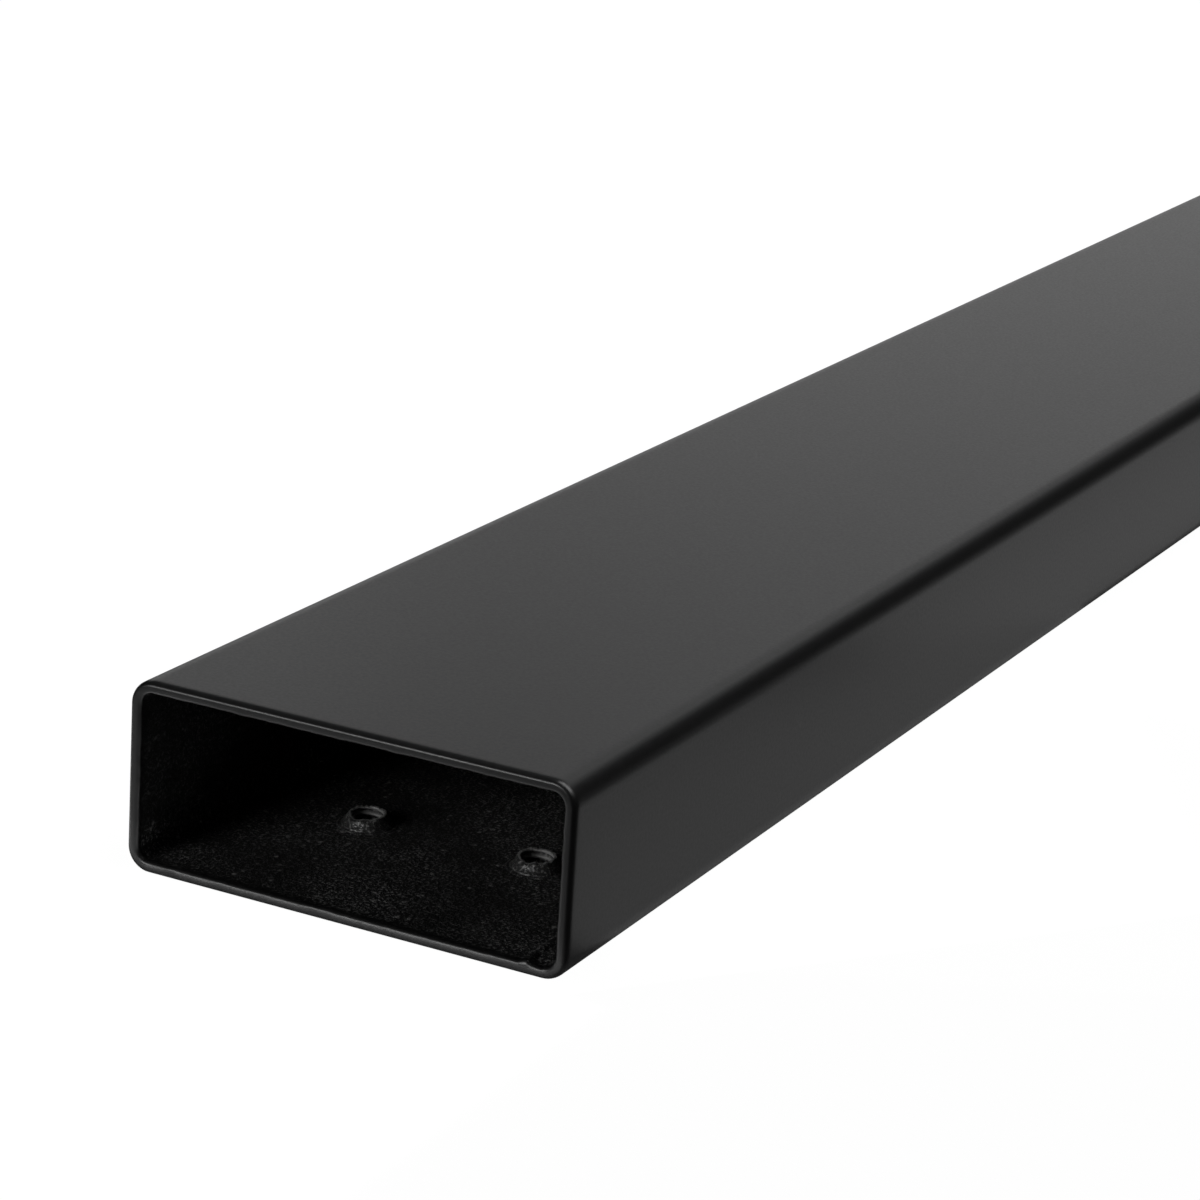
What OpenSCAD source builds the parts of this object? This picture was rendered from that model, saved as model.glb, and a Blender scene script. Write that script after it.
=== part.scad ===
// Rectangular steel handrail tube with threaded fixing holes near both ends.
// It lies on its wide face along Y. The origin is on the floor under its middle.

/* [Section] */
// Outside width of the tube over its coating, along X
tube_w = 50; // [45:0.1:120]
// Outside height of the tube over its coating, along Z
tube_h = 20.3; // [16:0.1:60]
// Thickness of the steel wall with its coating
wall = 1.3; // [1:0.1:2]
// Outside radius of the four long corners
corner_r = 2.6; // [2.2:0.1:5]

/* [Weld seam] */
// Distance from the right side of the tube to the weld along its inside
seam_inset = 4.6; // [4:0.1:6]
// Height of the weld bead that the rolling mill left inside
seam_h = 0.2; // [0.05:0.05:0.5]
// Radius across the top of the bead
seam_r = 1; // [0.5:0.1:2]

/* [Length and cut ends] */
// Cut length of the tube, along Y
tube_l = 1000; // [300:50:3000]
// Radius that the coating leaves on both edges of the cut wall
cut_edge_r = 0.5; // [0.15:0.05:0.6]

/* [Threaded holes] */
// Distance from each cut end to the pair of holes behind it
hole_setback = 22; // [12:1:100]
// Distance between the two holes of a pair, across the width
hole_spacing = 20; // [10:1:26]
// Core diameter of the thread
core_d = 3.3; // [2.5:0.1:5]
// Width of the bevel where a screw enters, on the underside
mouth_bevel = 0.25; // [0.1:0.05:0.6]

/* [Drawn collars] */
// Height of a collar above the inner face of the wall
collar_h = 1.4; // [1.2:0.1:3]
// Thickness of the collar round the thread's core
collar_t = 0.5; // [0.45:0.05:1]
// Radius of the hollow flare between the collar and the wall
flare_r = 0.85; // [0.4:0.05:0.9]
// Height of the low ring that the flare ends in
foot_h = 0.06; // [0.02:0.01:0.1]
// Radius over the outer edge of the collar's lip
lip_r = 0.15; // [0.05:0.05:0.2]
// Width of the bevel inside the lip
lip_bevel = 0.2; // [0.05:0.05:0.2]

/* [Hidden] */
$fn = 96;
// How far a cutter runs past the face that it opens
clear = 1;
inner_r = corner_r - wall;
// The rounding that a thin wall has room for, with a flat rim left between both edges
edge_r = min(cut_edge_r, 0.4 * wall);
core_r = core_d / 2;
collar_r = core_r + collar_t;
foot_r = collar_r + flare_r;
// Centres of the corner bends, counter-clockwise from the upper right
bend_x = [1, -1, -1, 1] * (tube_w / 2 - corner_r);
bend_z = [tube_h - corner_r, tube_h - corner_r, corner_r, corner_r];
// Width of the flat wall that runs up to each bend
flat_w = [tube_h, tube_w, tube_h, tube_w] - [2, 2, 2, 2] * corner_r;

// The wall cut along the tube, its thickness along X and both cut ends rounded
module wall_profile() {
    translate([0, edge_r])
        square([wall, tube_l - 2 * edge_r]);
    translate([edge_r, 0])
        square([wall - 2 * edge_r, tube_l]);
    for (x = [edge_r, wall - edge_r], y = [edge_r, tube_l - edge_r])
        translate([x, y])
            circle(edge_r);
}

// One corner bend with the flat wall that runs up to it
module bend_and_flat(flat) {
    rotate_extrude(angle = 90)
        translate([inner_r, 0])
            wall_profile();
    rotate([90, 0, 0])
        linear_extrude(flat)
            translate([inner_r, 0])
                wall_profile();
}

// The rolled section, four bends and four flats, laid along Y
module rolled_wall() {
    translate([0, tube_l / 2, 0])
        rotate([90, 0, 0])
            for (i = [0:3])
                translate([bend_x[i], bend_z[i], 0])
                    rotate(90 * i)
                        bend_and_flat(flat_w[i]);
}

// The bead along the inside of the weld, at its middle on the lower wall
module weld_bead() {
    translate([tube_w / 2 - seam_inset, tube_l / 2 - edge_r, wall + seam_h - seam_r])
        rotate([90, 0, 0])
            intersection() {
                cylinder(r = seam_r, h = tube_l - 2 * edge_r);
                translate([-seam_r, seam_r - seam_h - wall / 2, 0])
                    cube([2 * seam_r, seam_h + wall / 2, tube_l]);
            }
}

// Half of a collar's cross-section, from the middle of the wall up to its lip
module collar_profile() {
    flare_z = foot_h + flare_r;
    translate([core_r / 2, -wall / 2])
        square([foot_r - core_r / 2, wall / 2 + foot_h]);
    difference() {
        translate([core_r / 2, 0])
            square([foot_r - core_r / 2, flare_z]);
        translate([foot_r, flare_z])
            circle(flare_r);
    }
    translate([core_r / 2, 0])
        square([collar_r - lip_r - core_r / 2, collar_h]);
    translate([core_r / 2, 0])
        square([collar_r - core_r / 2, collar_h - lip_r]);
    translate([collar_r - lip_r, collar_h - lip_r])
        circle(lip_r);
}

// The threaded core right through wall and collar, with a bevel at each mouth
module core_cutter() {
    top = wall + collar_h;
    translate([0, 0, -clear])
        cylinder(r = core_r, h = top + 2 * clear);
    translate([0, 0, -clear])
        cylinder(r1 = core_r + mouth_bevel + clear, r2 = core_r, h = mouth_bevel + clear);
    translate([0, 0, top - lip_bevel])
        cylinder(r1 = core_r, r2 = core_r + lip_bevel + clear, h = lip_bevel + clear);
}

// Places a copy at each of the four holes, on the tube's underside
module at_holes() {
    for (x = [-1, 1] * hole_spacing / 2, y = [-1, 1] * (tube_l / 2 - hole_setback))
        translate([x, y, 0])
            children();
}

module handrail_tube() {
    color([0.13, 0.13, 0.135])
        difference() {
            union() {
                rolled_wall();
                weld_bead();
                at_holes()
                    translate([0, 0, wall])
                        rotate_extrude()
                            collar_profile();
            }
            at_holes()
                core_cutter();
        }
}

handrail_tube();
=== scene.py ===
import math

import bmesh
import bpy
from mathutils import Matrix, Quaternion, Vector, noise


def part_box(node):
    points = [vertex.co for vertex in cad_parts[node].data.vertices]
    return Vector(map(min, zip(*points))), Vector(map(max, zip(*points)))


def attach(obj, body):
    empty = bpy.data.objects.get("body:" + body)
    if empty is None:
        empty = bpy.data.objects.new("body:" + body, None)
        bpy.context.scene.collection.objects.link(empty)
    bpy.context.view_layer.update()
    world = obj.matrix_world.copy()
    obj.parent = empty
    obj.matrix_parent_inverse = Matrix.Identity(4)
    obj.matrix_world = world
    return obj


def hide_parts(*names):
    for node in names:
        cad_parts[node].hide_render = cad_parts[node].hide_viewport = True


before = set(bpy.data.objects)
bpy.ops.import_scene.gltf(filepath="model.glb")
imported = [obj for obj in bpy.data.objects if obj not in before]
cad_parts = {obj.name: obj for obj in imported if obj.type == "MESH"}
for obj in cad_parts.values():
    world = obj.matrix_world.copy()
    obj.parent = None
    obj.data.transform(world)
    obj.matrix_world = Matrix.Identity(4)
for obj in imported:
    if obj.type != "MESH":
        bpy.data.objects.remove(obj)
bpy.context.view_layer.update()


# ---------------------------------------------------------------------------------------------
# Handrail tube
# One strip of steel, rolled to a flat rectangle, welded along its inside and sawn square. Four
# holes are flow-drilled and tapped in it, and then all of it gets one black powder coat.
# ---------------------------------------------------------------------------------------------
low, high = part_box("handrail_tube")
width, length, height = high - low
half_width, half_length = width / 2, length / 2
wall = 0.0013
corner_radius = 0.0026
cut_edge_radius = 0.0005
rings_behind_cut = (0.0008, 0.0012, 0.0017, 0.0024, 0.0034, 0.005, 0.008, 0.013)
facet = 0.0004
facets_across = 112
facets_up = 38
# The inner side of the lower wall lies between these two levels
mid_wall = 0.0006
over_wall = wall + 1e-5
# Points closer than the first are one place, and a cut snaps to points closer than the second
same_place = 1e-6
cut_snap = 1e-7


def ease(value, start, stop):
    """Rises smoothly from 0 at start to 1 at stop."""
    t = min(max((value - start) / (stop - start), 0), 1)
    return t * t * (3 - 2 * t)


def depth_in_wall(point):
    """How deep a point lies under the outer surface of the rounded section."""
    across = abs(point.x) - (half_width - corner_radius)
    upright = abs(point.z - height / 2) - (height / 2 - corner_radius)
    past_flats = math.hypot(max(across, 0), max(upright, 0))
    return corner_radius - past_flats - min(max(across, upright), 0)


tube = bmesh.new()
bmesh.ops.create_grid(tube, x_segments=1, y_segments=1, size=0.5)
bmesh.ops.scale(tube, vec=(width, height, 1), verts=tube.verts)
bmesh.ops.bevel(tube, geom=tube.verts[:], affect="VERTICES", offset=corner_radius, segments=12,
                profile=0.5, material=-1)
wide = [e for e in tube.edges if e.calc_length() > height]
narrow = [e for e in tube.edges if corner_radius < e.calc_length() < height]
bmesh.ops.subdivide_edges(tube, edges=wide, cuts=facets_across - 1)
bmesh.ops.subdivide_edges(tube, edges=narrow, cuts=facets_up - 1)
bore = tube.faces[:]
bmesh.ops.inset_region(tube, faces=bore, thickness=wall, use_even_offset=True, use_boundary=True)
bmesh.ops.delete(tube, geom=bore, context="FACES")
stand_up = Matrix.Rotation(math.radians(90), 3, "X")
bmesh.ops.rotate(tube, verts=tube.verts, cent=(0, 0, 0), matrix=stand_up)
bmesh.ops.translate(tube, verts=tube.verts, vec=(0, -half_length, height / 2))
drawn = bmesh.ops.extrude_face_region(tube, geom=tube.faces[:])
far_end = [v for v in drawn["geom"] if isinstance(v, bmesh.types.BMVert)]
bmesh.ops.translate(tube, verts=far_end, vec=(0, length, 0))
bmesh.ops.recalc_face_normals(tube, faces=tube.faces)

# The coat draws back into a round bead on both edges of the cut wall
cut_edges = [e for e in tube.edges if e.calc_face_angle(0) > 1
             and all(half_length - abs(v.co.y) < same_place for v in e.verts)]
bmesh.ops.bevel(tube, geom=cut_edges, affect="EDGES", offset=cut_edge_radius, segments=6,
                profile=0.5, material=-1)
for behind in rings_behind_cut:
    for end in (-1, 1):
        whole = tube.verts[:] + tube.edges[:] + tube.faces[:]
        bmesh.ops.bisect_plane(tube, geom=whole, dist=cut_snap,
                               plane_co=(0, end * (half_length - behind), 0), plane_no=(0, 1, 0))

# A deburring brush lets the outer edge run out further along the tube than across its wall
for vert in tube.verts:
    behind = half_length - abs(vert.co.y)
    outer = 1 - ease(depth_in_wall(vert.co), wall * 0.3, wall * 0.5)
    stretched = behind * (1 + 0.7 * outer * (1 - ease(behind, cut_edge_radius, 0.0017)))
    vert.co.y = math.copysign(half_length - stretched, vert.co.y)

# The weld's low bead runs along the inside of the lower wall. At the cut the coat heaps up on it
# and leaves a hollow beside it.
bead_x = half_width - 0.0046
bead_height = 0.0002
bead_half_width = 0.0006
bead_reach = 0.0015


def cut_faces(faces, point, normal):
    """Cuts some faces, with their vertices and edges, by a plane."""
    verts = dict.fromkeys(v for f in faces for v in f.verts)
    edges = dict.fromkeys(e for f in faces for e in f.edges)
    bmesh.ops.bisect_plane(tube, geom=[*verts, *edges, *faces], dist=cut_snap, plane_co=point,
                           plane_no=normal)


for step in (-1, -0.5, 0, 0.5, 1):
    faces = [f for f in tube.faces if abs(f.calc_center_median().x - bead_x) < bead_reach
             and mid_wall < f.calc_center_median().z < over_wall]
    cut_faces(faces, (bead_x + step * bead_half_width, 0, 0), (1, 0, 0))
for vert in tube.verts:
    if mid_wall < vert.co.z < over_wall and abs(vert.co.x) < half_width - corner_radius:
        across = (vert.co.x - bead_x) / bead_half_width
        inner_side = ease(vert.co.z, wall - cut_edge_radius, wall)
        near_cut = 1 - ease(half_length - abs(vert.co.y), 0.0005, 0.003)
        bead = bead_height * max(1 - across ** 2, 0)
        heap = 0.00016 * math.exp(-((across - 0.7) / 0.6) ** 2)
        hollow = 0.0001 * math.exp(-((across - 3.2) / 0.9) ** 2)
        vert.co.z += inner_side * (bead + near_cut * (heap - hollow))

# Small swellings of the coat along the inner edge of the cut
swelling = 0.00009
tube.normal_update()
swollen = []
for vert in tube.verts:
    near_cut = 1 - ease(half_length - abs(vert.co.y), 0.0006, 0.0026)
    inner_side = ease(depth_in_wall(vert.co), wall * 0.5, wall * 0.95)
    if near_cut * inner_side > 0:
        lump = max(noise.noise(vert.co * 500), 0) + max(noise.noise(vert.co * 1200) - 0.1, 0)
        swollen.append((vert, vert.normal * (swelling * lump * near_cut * inner_side)))
for vert, move in swollen:
    vert.co += move

# A hot spinning cone draws each hole's collar out of the wall, and a tap cuts the M4 thread. The
# collar keeps a torn lip, a lumpy flare and a fine raised ring round its foot.
hole_spacing = 0.020
hole_setback = 0.022
thread_core = 0.00165
thread_depth = 0.00033
thread_pitch = 0.0007
thread_phase = 0.26
thread_rings = 44
collar_top = 0.0027
collar_radius = 0.00215
flare_radius = 0.00085
foot_radius = 0.0030
foot_height = 0.00006
mouth_radius = 0.0019
mouth_depth = 0.00025
lip_bevel = 0.0001
lip_wear_and_highlight = 0.55
collar_sides = 96
# A collar with its foot lies within this radius and under this level, in a square patch of facets
zone_radius = 0.0034
zone_top = 0.003
half_patch = 9 * facet
patch_side_cuts = 8
# Lip and thread crests get a lighter grey: partly worn coat, partly a painted highlight
thin_coat_highlight_layer = tube.verts.layers.float.new("thin_coat_highlight")


def round_hole(cx, cy):
    """The vertices of one collar, from the underside up to its lip."""
    return [v for v in tube.verts if v.co.z < zone_top
            and math.hypot(v.co.x - cx, v.co.y - cy) < zone_radius]


def loop_at(cx, cy, radius, level):
    """The ring of edges that lies at one radius and level of a collar."""
    ring = dict.fromkeys(v for v in round_hole(cx, cy) if abs(v.co.z - level) < same_place
                         and abs(math.hypot(v.co.x - cx, v.co.y - cy) - radius) < same_place)
    return list(dict.fromkeys(e for v in ring for e in v.link_edges if e.other_vert(v) in ring))


def in_patch(vert, cx, cy, level):
    """Whether a vertex lies in the square patch that a collar takes the place of."""
    return (abs(vert.co.z - level) < same_place and abs(vert.co.x - cx) < half_patch + same_place
            and abs(vert.co.y - cy) < half_patch + same_place)


def draw_collar(cx, cy):
    """Spins a collar with its bore, from the underside up over the lip and down to its foot."""
    profile = [(mouth_radius, 0), (thread_core, mouth_depth),
               (thread_core, collar_top - lip_bevel), (thread_core + lip_bevel, collar_top),
               (collar_radius, collar_top), (collar_radius, wall + foot_height),
               (foot_radius, wall + foot_height),
               (foot_radius + 0.00006, wall + foot_height * 1.5),
               (foot_radius + 0.00014, wall + foot_height * 1.1),
               (foot_radius + 0.0002, wall), (foot_radius + 0.00035, wall)]
    verts = [tube.verts.new((cx + r, cy, z)) for r, z in profile]
    edges = [tube.edges.new(pair) for pair in zip(verts, verts[1:])]
    bmesh.ops.spin(tube, geom=verts + edges, cent=(cx, cy, 0), axis=(0, 0, 1), angle=math.tau,
                   steps=collar_sides, use_merge=True)
    rounded = ((collar_radius, wall + foot_height, flare_radius * 0.98, 9),
               (collar_radius, collar_top, 0.00012, 3),
               (thread_core + lip_bevel, collar_top, 0.00006, 2))
    for radius, level, offset, count in rounded:
        bmesh.ops.bevel(tube, geom=loop_at(cx, cy, radius, level), affect="EDGES", offset=offset,
                        segments=count, profile=0.5, material=-1)
    core = [v for v in round_hole(cx, cy)
            if abs(math.hypot(v.co.x - cx, v.co.y - cy) - thread_core) < same_place]
    upright = dict.fromkeys(e for v in core for e in v.link_edges
                            if abs(e.other_vert(v).co.z - v.co.z) > thread_pitch)
    bmesh.ops.subdivide_edges(tube, edges=list(upright), cuts=thread_rings, use_grid_fill=True)


def cut_thread(cx, cy):
    """Pushes the bore's wall out into a right-hand thread that fades at both mouths.

    The powder lies thinly on the thread's crests and on the lip. Their lighter grey is partly that
    worn coat and partly a painted highlight that the lamps don't give there.
    """
    for vert in round_hole(cx, cy):
        out = Vector((vert.co.x - cx, vert.co.y - cy, 0))
        vert[thin_coat_highlight_layer] = lip_wear_and_highlight * ease(vert.co.z, collar_top - 0.00007, collar_top)
        if abs(out.length - thread_core) < same_place:
            turn = math.atan2(out.y, out.x) / math.tau
            crest = abs((vert.co.z / thread_pitch - turn - thread_phase) % 1 - 0.5) * 2
            groove = min(max((0.78 - crest) / 0.66, 0), 1)
            fade = ease(vert.co.z, mouth_depth, mouth_depth + 0.0003)
            fade *= 1 - ease(vert.co.z, collar_top - lip_bevel - 0.0001, collar_top - lip_bevel)
            vert.co += out.normalized() * thread_depth * groove * fade
            vert[thin_coat_highlight_layer] = (1 - groove) * ease(vert.co.z, wall, wall + 0.0003)


def roughen_collar(cx, cy):
    """Slants the flank, tears the lip and lumps the flare.

    The cone leaves a streak up the flank towards the cut, and a tongue of steel over it.
    """
    streak_turn = math.atan2(math.copysign(1, cy), 0.42)
    for vert in round_hole(cx, cy):
        out = Vector((vert.co.x - cx, vert.co.y - cy, 0))
        radius = out.length
        if vert.co.z > wall + 0.00014 and radius > thread_core - same_place:
            out.normalize()
            turn = math.atan2(out.y, out.x)
            off = (turn - streak_turn + math.pi) % math.tau - math.pi
            place = Vector((math.cos(turn), math.sin(turn), cx * 300))
            outer_side = ease(radius, thread_core + 0.0002, thread_core + 0.0004)
            above_foot = 1 - ease(radius, foot_radius - 0.0005, foot_radius)
            lip = ease(vert.co.z, collar_top - 0.0004, collar_top)
            slant = 1 - ease(vert.co.z, wall + 0.0002, collar_top)
            lump = noise.noise(vert.co * 1700) + 0.7 * noise.noise(vert.co * 3600)
            streak = math.exp(-(off * radius / 0.00016) ** 2)
            streak *= ease(vert.co.z, wall + 0.0003, wall + 0.0008)
            tongue = math.exp(-(off * radius / 0.0005) ** 4) * lip
            torn = noise.noise(place * 2.3) + 0.8 * noise.noise(place * 6.5)
            swell = 0.00022 * slant + 0.00005 * lump + 0.0001 * streak - 0.00012 * lip
            vert.co += out * (outer_side * above_foot * swell - 0.00014 * tongue)
            low_front = 0.0003 * max(math.copysign(out.y, out.y * cy), 0) ** 2
            vert.co.z += lip * (0.00013 * torn - 0.00006 - low_front) + 0.0001 * tongue


def open_edges(cx, cy, level):
    """The edges round the square opening in a flat face, and round the collar in it."""
    return [e for e in tube.edges
            if e.is_boundary and all(in_patch(v, cx, cy, level) for v in e.verts)]


def let_in(cx, cy, level):
    """Joins the square opening in a flat face to the outermost ring of the collar."""
    long_edges = [e for e in open_edges(cx, cy, level) if e.calc_length() > 2 * facet]
    bmesh.ops.subdivide_edges(tube, edges=long_edges, cuts=patch_side_cuts)
    bmesh.ops.bridge_loops(tube, edges=open_edges(cx, cy, level))


for end in (-1, 1):
    hole_y = end * (half_length - hole_setback)
    for side in (-1, 1):
        flats = [f for f in tube.faces
                 if abs(f.normal.z) > 0.99 and f.calc_center_median().z < over_wall]
        cut_faces(flats, (0, hole_y + side * half_patch, 0), (0, 1, 0))
    for side in (-1, 1):
        hole_x = side * hole_spacing / 2
        for level in (0, wall):
            patch = [f for f in tube.faces
                     if all(in_patch(v, hole_x, hole_y, level) for v in f.verts)]
            bmesh.ops.delete(tube, geom=patch, context="FACES")
        draw_collar(hole_x, hole_y)
        cut_thread(hole_x, hole_y)
        roughen_collar(hole_x, hole_y)
        let_in(hole_x, hole_y, 0)
        let_in(hole_x, hole_y, wall)
bmesh.ops.recalc_face_normals(tube, faces=tube.faces)
for face in tube.faces:
    face.smooth = True

# Inside the tube the powder stayed dry. Its dry share falls to 0.4 up the side walls and roof: a
# painted shade that leaves them darker than the lower wall. It flowed out at the cut and half
# flowed on the collars.
dry_and_shade_layer = tube.verts.layers.float.new("dry_powder_and_wall_shade")
collar_layer = tube.verts.layers.float.new("on_collar")
for vert in tube.verts:
    off_cut = ease(half_length - abs(vert.co.y), 0.0003, 0.0016)
    to_hole = math.hypot(abs(vert.co.x) - hole_spacing / 2,
                         half_length - hole_setback - abs(vert.co.y))
    # Painted shade: less dry powder up the inner walls makes them darker
    painted_wall_shade = 1 - 0.6 * ease(vert.co.z, wall + 0.0018, wall + 0.004)
    vert[dry_and_shade_layer] = painted_wall_shade * off_cut * ease(depth_in_wall(vert.co), wall * 0.5, wall * 0.98)
    vert[collar_layer] = 1 - ease(to_hole, foot_radius - 0.0001, foot_radius + 0.0005)
mesh = bpy.data.meshes.new("coated_tube")
tube.to_mesh(mesh)
tube.free()
coated_tube = bpy.data.objects.new("coated_tube", mesh)
bpy.context.scene.collection.objects.link(coated_tube)
weighted = coated_tube.modifiers.new("flat faces stay flat", "WEIGHTED_NORMAL")
weighted.keep_sharp = True

# Grain of the fused powder: a height, its slow cloudiness and rare lighter specks
grain = bpy.data.node_groups.new("powder_grain", "ShaderNodeTree")
grain.interface.new_socket("Vector", in_out="INPUT", socket_type="NodeSocketVector")
grain.interface.new_socket("Grains per Metre", in_out="INPUT", socket_type="NodeSocketFloat")
grain.interface.new_socket("Specks per Metre", in_out="INPUT", socket_type="NodeSocketFloat")
grain.interface.new_socket("Speck Size", in_out="INPUT", socket_type="NodeSocketFloat")
grain.interface.new_socket("Height", in_out="OUTPUT", socket_type="NodeSocketFloat")
grain.interface.new_socket("Cloud", in_out="OUTPUT", socket_type="NodeSocketFloat")
grain.interface.new_socket("Specks", in_out="OUTPUT", socket_type="NodeSocketFloat")
nodes, links = grain.nodes, grain.links
given = nodes.new("NodeGroupInput")
result = nodes.new("NodeGroupOutput")
fine = nodes.new("ShaderNodeTexNoise")
fine.inputs["Detail"].default_value = 2
fine.inputs["Roughness"].default_value = 0.7
cloud = nodes.new("ShaderNodeTexNoise")
cloud.inputs["Scale"].default_value = 70
cloud.inputs["Detail"].default_value = 3
dots = nodes.new("ShaderNodeTexVoronoi")
size_noise = nodes.new("ShaderNodeTexNoise")
size_noise.inputs["Detail"].default_value = 0
dot_size = nodes.new("ShaderNodeMapRange")
dot_size.inputs["From Min"].default_value = 0.45
dot_size.inputs["From Max"].default_value = 0.8
dot = nodes.new("ShaderNodeMapRange")
dot.interpolation_type = "SMOOTHSTEP"
dot.inputs["From Min"].default_value = 0
dot.inputs["To Min"].default_value = 1
dot.inputs["To Max"].default_value = 0
for texture in (fine, cloud, dots, size_noise):
    links.new(given.outputs["Vector"], texture.inputs["Vector"])
links.new(given.outputs["Grains per Metre"], fine.inputs["Scale"])
links.new(given.outputs["Specks per Metre"], dots.inputs["Scale"])
links.new(given.outputs["Specks per Metre"], size_noise.inputs["Scale"])
links.new(size_noise.outputs[0], dot_size.inputs["Value"])
links.new(given.outputs["Speck Size"], dot_size.inputs["To Max"])
links.new(dots.outputs["Distance"], dot.inputs["Value"])
links.new(dot_size.outputs[0], dot.inputs["From Max"])
links.new(fine.outputs[0], result.inputs["Height"])
links.new(cloud.outputs[0], result.inputs["Cloud"])
links.new(dot.outputs[0], result.inputs["Specks"])

# The coat: satin and almost smooth where it flowed out, dull and gritty where it stayed dry
coat = bpy.data.materials.new("black_powder_coat")
coat.use_nodes = True
nodes, links = coat.node_tree.nodes, coat.node_tree.links
bsdf = nodes["Principled BSDF"]
bsdf.inputs["IOR"].default_value = 1.47
coord = nodes.new("ShaderNodeTexCoord")
dry_and_shade_mask = nodes.new("ShaderNodeAttribute")
dry_and_shade_mask.attribute_name = "dry_powder_and_wall_shade"
dry_with_wall_shade = dry_and_shade_mask.outputs["Fac"]
collar_mask = nodes.new("ShaderNodeAttribute")
collar_mask.attribute_name = "on_collar"
on_collar = collar_mask.outputs["Fac"]
# Mask of the lighter grey on lip and crests: worn coat and painted highlight
thin_coat_highlight_mask = nodes.new("ShaderNodeAttribute")
thin_coat_highlight_mask.attribute_name = "thin_coat_highlight"
worn_and_highlit = thin_coat_highlight_mask.outputs["Fac"]
flowed_grain = nodes.new("ShaderNodeGroup")
flowed_grain.node_tree = grain
flowed_grain.inputs["Grains per Metre"].default_value = 2600
flowed_grain.inputs["Specks per Metre"].default_value = 260
flowed_grain.inputs["Speck Size"].default_value = 0.22
dry_grain = nodes.new("ShaderNodeGroup")
dry_grain.node_tree = grain
dry_grain.inputs["Grains per Metre"].default_value = 3200
dry_grain.inputs["Specks per Metre"].default_value = 1000
dry_grain.inputs["Speck Size"].default_value = 0.5
for group in (flowed_grain, dry_grain):
    links.new(coord.outputs["Object"], group.inputs["Vector"])


def blend(kind, factor, first, second):
    """Mixes two values or colours; each may be a socket or a plain value."""
    mix = nodes.new("ShaderNodeMix")
    mix.data_type = kind
    a, b, out = (2, 3, 0) if kind == "FLOAT" else (6, 7, 2)
    for slot, given_value in ((0, factor), (a, first), (b, second)):
        if isinstance(given_value, bpy.types.NodeSocket):
            links.new(given_value, mix.inputs[slot])
        else:
            mix.inputs[slot].default_value = given_value
    return mix.outputs[out]


def spread(value, low_in, high_in, low_out, high_out):
    """Maps one range of a value onto another."""
    node = nodes.new("ShaderNodeMapRange")
    links.new(value, node.inputs["Value"])
    for name, number in (("From Min", low_in), ("From Max", high_in),
                         ("To Min", low_out), ("To Max", high_out)):
        node.inputs[name].default_value = number
    return node.outputs[0]


flowed_specks = spread(flowed_grain.outputs["Specks"], 0, 1, 0, 0.35)
flowed_colour = blend("RGBA", flowed_specks, (0.0046, 0.0046, 0.0048, 1), (0.03, 0.03, 0.03, 1))
dry_tone = spread(dry_grain.outputs["Height"], 0.53, 0.63, 0, 1)
dusty = spread(dry_grain.outputs["Cloud"], 0.42, 0.62, 0, 1)
light_powder = blend("RGBA", dusty, (0.09, 0.09, 0.088, 1), (0.22, 0.22, 0.216, 1))
dry_colour = blend("RGBA", dry_tone, (0.004, 0.004, 0.0041, 1), light_powder)
collar_colour = blend("RGBA", dry_tone, (0.02, 0.02, 0.02, 1), (0.15, 0.15, 0.147, 1))
dry_colour = blend("RGBA", on_collar, dry_colour, collar_colour)
dry_colour = blend("RGBA", dry_grain.outputs["Specks"], dry_colour, (0.25, 0.25, 0.245, 1))
# Lighter grey on the lip and thread crests: partly worn coat, partly a painted highlight
dry_colour = blend("RGBA", worn_and_highlit, dry_colour, (0.22, 0.22, 0.216, 1))
# The dry mask also carries painted shade that darkens the inner walls
links.new(blend("RGBA", dry_with_wall_shade, flowed_colour, dry_colour), bsdf.inputs["Base Color"])
flowed_roughness = spread(flowed_grain.outputs["Height"], 0.3, 0.7, 0.31, 0.39)
dry_roughness = spread(dry_grain.outputs["Cloud"], 0.3, 0.7, 0.5, 0.62)
dry_roughness = blend("FLOAT", on_collar, dry_roughness, 0.3)
links.new(blend("FLOAT", dry_with_wall_shade, flowed_roughness, dry_roughness), bsdf.inputs["Roughness"])
peel = nodes.new("ShaderNodeBump")
peel.inputs["Strength"].default_value = 1
peel.inputs["Distance"].default_value = 0.0000055
links.new(flowed_grain.outputs["Height"], peel.inputs["Height"])
grit = nodes.new("ShaderNodeBump")
grit.inputs["Distance"].default_value = 0.0002
links.new(blend("FLOAT", on_collar, dry_with_wall_shade, 0.65), grit.inputs["Strength"])
links.new(dry_grain.outputs["Height"], grit.inputs["Height"])
links.new(peel.outputs["Normal"], grit.inputs["Normal"])
links.new(grit.outputs["Normal"], bsdf.inputs["Normal"])
mesh.materials.append(coat)
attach(coated_tube, "root")
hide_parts("handrail_tube")


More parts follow.
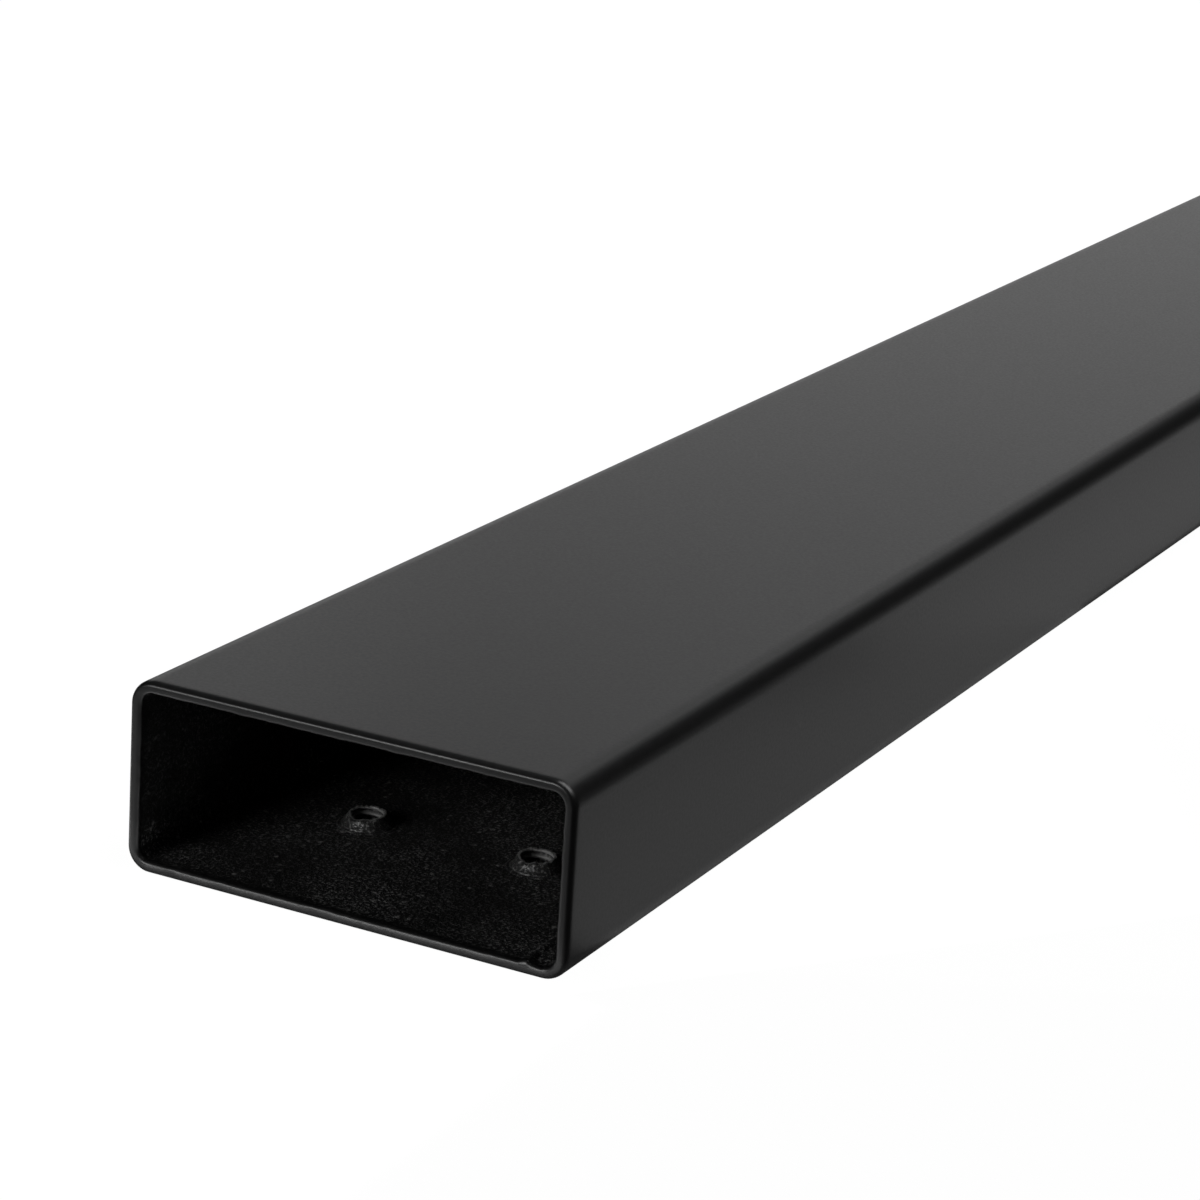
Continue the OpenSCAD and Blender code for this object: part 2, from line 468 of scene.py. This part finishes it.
# ---------------------------------------------------------------------------------------------
# Studio
# A white floor that runs to a white backdrop, lamps round the near end, and the camera. Only the
# camera sees that white: the coat mirrors the floor's painted shade, the lamps and a dim room.
# ---------------------------------------------------------------------------------------------
floor_mesh = bpy.data.meshes.new("studio_floor")
sheet = bmesh.new()
bmesh.ops.create_grid(sheet, x_segments=1, y_segments=1, size=6)
sheet.to_mesh(floor_mesh)
sheet.free()
floor = bpy.data.objects.new("studio_floor", floor_mesh)
bpy.context.scene.collection.objects.link(floor)
floor_gap = 0.00002
floor.location.z = -floor_gap
paper = bpy.data.materials.new("white_paper_painted_shade")
paper.use_nodes = True
nodes, links = paper.node_tree.nodes, paper.node_tree.links
nodes.clear()
output = nodes.new("ShaderNodeOutputMaterial")
shown = nodes.new("ShaderNodeMixShader")
path = nodes.new("ShaderNodeLightPath")
share = nodes.new("ShaderNodeMath")
share.operation = "MULTIPLY"
share.inputs[1].default_value = 0.9
diffuse = nodes.new("ShaderNodeBsdfDiffuse")
# Painted shade on the paper, which the coat mirrors and the camera sees only faintly: it is pale
# left of the tube and grey right of it, darker before its cut end, and darkest beyond a line that
# runs back from its right corner
on_floor = nodes.new("ShaderNodeTexCoord")
grey = diffuse.inputs["Color"]
painted_shade_steps = (((0, 1, 0), -0.506, -0.499, 0.04, 1),
              ((-0.788, 0.616, 0), -0.3295, -0.3275, 0.02, 1),
              ((-1, 0, 0), 0.027, 0.035, 0.12, 0.35))
for direction, start, stop, low_grey, high_grey in painted_shade_steps:
    along = nodes.new("ShaderNodeVectorMath")
    along.operation = "DOT_PRODUCT"
    along.inputs[1].default_value = direction
    links.new(on_floor.outputs["Object"], along.inputs[0])
    painted_shade_here = spread(along.outputs["Value"], start, stop, low_grey, high_grey)
    darker = nodes.new("ShaderNodeMath")
    darker.operation = "MINIMUM"
    darker.inputs[1].default_value = 1
    links.new(painted_shade_here, darker.inputs[0])
    links.new(darker.outputs[0], grey)
    grey = darker.inputs[1]
glow = nodes.new("ShaderNodeEmission")
glow.inputs["Strength"].default_value = 1.1
links.new(path.outputs["Is Camera Ray"], share.inputs[0])
links.new(share.outputs[0], shown.inputs[0])
links.new(diffuse.outputs[0], shown.inputs[1])
links.new(glow.outputs[0], shown.inputs[2])
links.new(shown.outputs[0], output.inputs[0])
floor_mesh.materials.append(paper)

world = bpy.data.worlds.new("studio")
bpy.context.scene.world = world
world.use_nodes = True
nodes, links = world.node_tree.nodes, world.node_tree.links
nodes.clear()
output = nodes.new("ShaderNodeOutputWorld")
shown = nodes.new("ShaderNodeMixShader")
path = nodes.new("ShaderNodeLightPath")
dim = nodes.new("ShaderNodeBackground")
dim.inputs["Strength"].default_value = 0.02
white = nodes.new("ShaderNodeBackground")
links.new(path.outputs["Is Camera Ray"], shown.inputs[0])
links.new(dim.outputs[0], shown.inputs[1])
links.new(white.outputs[0], shown.inputs[2])
links.new(shown.outputs[0], output.inputs[0])


def softbox(name, azimuth, elevation, distance, size, aim, watts, turn=0):
    """An area lamp that faces its aim.

    Its azimuth turns from the tube's far direction to the left, and its elevation rises from there.
    """
    data = bpy.data.lights.new(name, "AREA")
    data.shape = "RECTANGLE"
    data.size, data.size_y = size
    data.energy = watts
    lamp = bpy.data.objects.new(name, data)
    bpy.context.scene.collection.objects.link(lamp)
    a, e = math.radians(azimuth), math.radians(elevation)
    away = Vector((-math.sin(a) * math.cos(e), math.cos(a) * math.cos(e), math.sin(e)))
    lamp.location = Vector(aim) + away * distance
    facing = away.to_track_quat("Z", "Y") @ Quaternion((0, 0, 1), math.radians(turn))
    lamp.rotation_euler = facing.to_euler()
    lamp.visible_camera = False


near_end = (0, -0.45, 0)
softbox("key", 158, 18, 1.0, (0.5, 0.3), near_end, 4.1)
softbox("over_right", -90, 68, 1.3, (0.7, 1.2), (0, -0.2, 0), 13)
softbox("back_low", 26, 9, 2.0, (1.2, 0.35), near_end, 1.3)
softbox("back_high", 12, 32, 1.8, (0.9, 0.5), near_end, 1.05)
softbox("back_high_right", -12, 36, 1.8, (0.5, 0.5), near_end, 0.5)
softbox("back_left", 40, 22, 2.0, (0.6, 0.4), near_end, 0.45)
# Lamps just over the floor light patches of it, which show in the cut end and the right side
softbox("front_card", 0, 90, 0.001, (0.105, 0.063), (-0.0225, -0.5335, 0), 0.26)
softbox("right_card", 0, 90, 0.001, (0.06, 0.13), (0.0242, -0.4205, 0), 0.054, turn=27)
softbox("right_card_far", 0, 90, 0.001, (0.036, 0.466), (0.044, -0.155, 0), 0.145)

camera_data = bpy.data.cameras.new("camera")
camera = bpy.data.objects.new("camera", camera_data)
bpy.context.scene.collection.objects.link(camera)
bpy.context.scene.camera = camera
camera_data.sensor_width = 36
camera_data.lens = 109.128
camera_data.clip_start = 0.01
yaw, pitch, roll = (math.radians(a) for a in (26.4237, 17.6853, 3.699))
forward = Vector((-math.sin(yaw) * math.cos(pitch), math.cos(yaw) * math.cos(pitch),
                  -math.sin(pitch)))
level_right = Vector((math.cos(yaw), math.sin(yaw), 0))
right = level_right * math.cos(roll) + level_right.cross(forward) * math.sin(roll)
camera_turn = Matrix((right, right.cross(forward), -forward)).transposed()
camera_place = (0.166667, -0.782849, 0.139376)
camera.matrix_world = Matrix.Translation(camera_place) @ camera_turn.to_4x4()

bpy.context.scene.view_settings.view_transform = "Standard"
